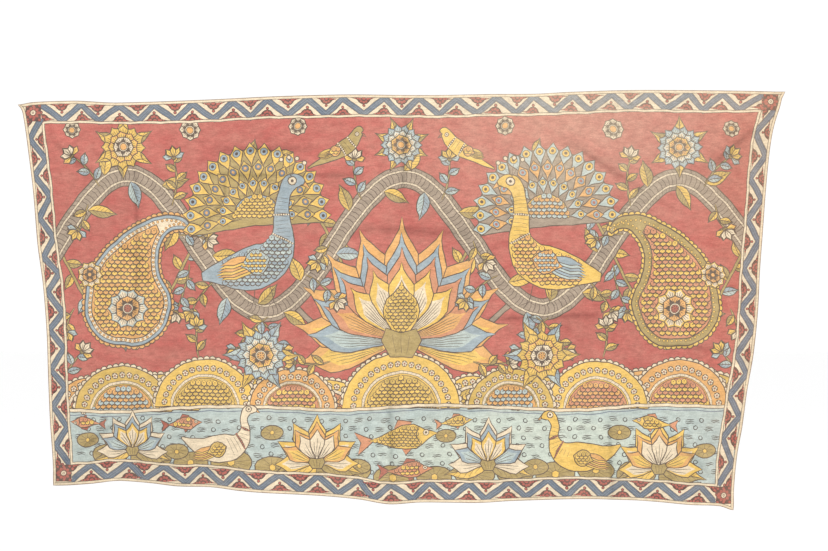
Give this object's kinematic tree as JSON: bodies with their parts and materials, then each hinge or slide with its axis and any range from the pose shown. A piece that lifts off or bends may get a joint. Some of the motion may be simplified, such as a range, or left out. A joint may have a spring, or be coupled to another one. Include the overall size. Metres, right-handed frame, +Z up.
{
  "type": "kalamkari cloth painting",
  "caption": "Hand-painted cotton wall hanging: one hemmed cloth, slightly wider at the top, hung flat by its top edge.",
  "frame": {"origin": "middle of the cloth's top edge, where it hangs from the wall", "axes": "+X to the right along the top edge as seen from the front, +Y back towards the wall, +Z up; the painted face looks towards -Y"},
  "size_m": [1.725, 0.0238, 0.9452],
  "materials": {
    "painted_cotton": "matt plain-woven cotton, hand drawn and dyed on one side"
  },
  "bodies": {
    "root": {"painted_cloth": "painted_cotton"}
  },
  "joints": []
}
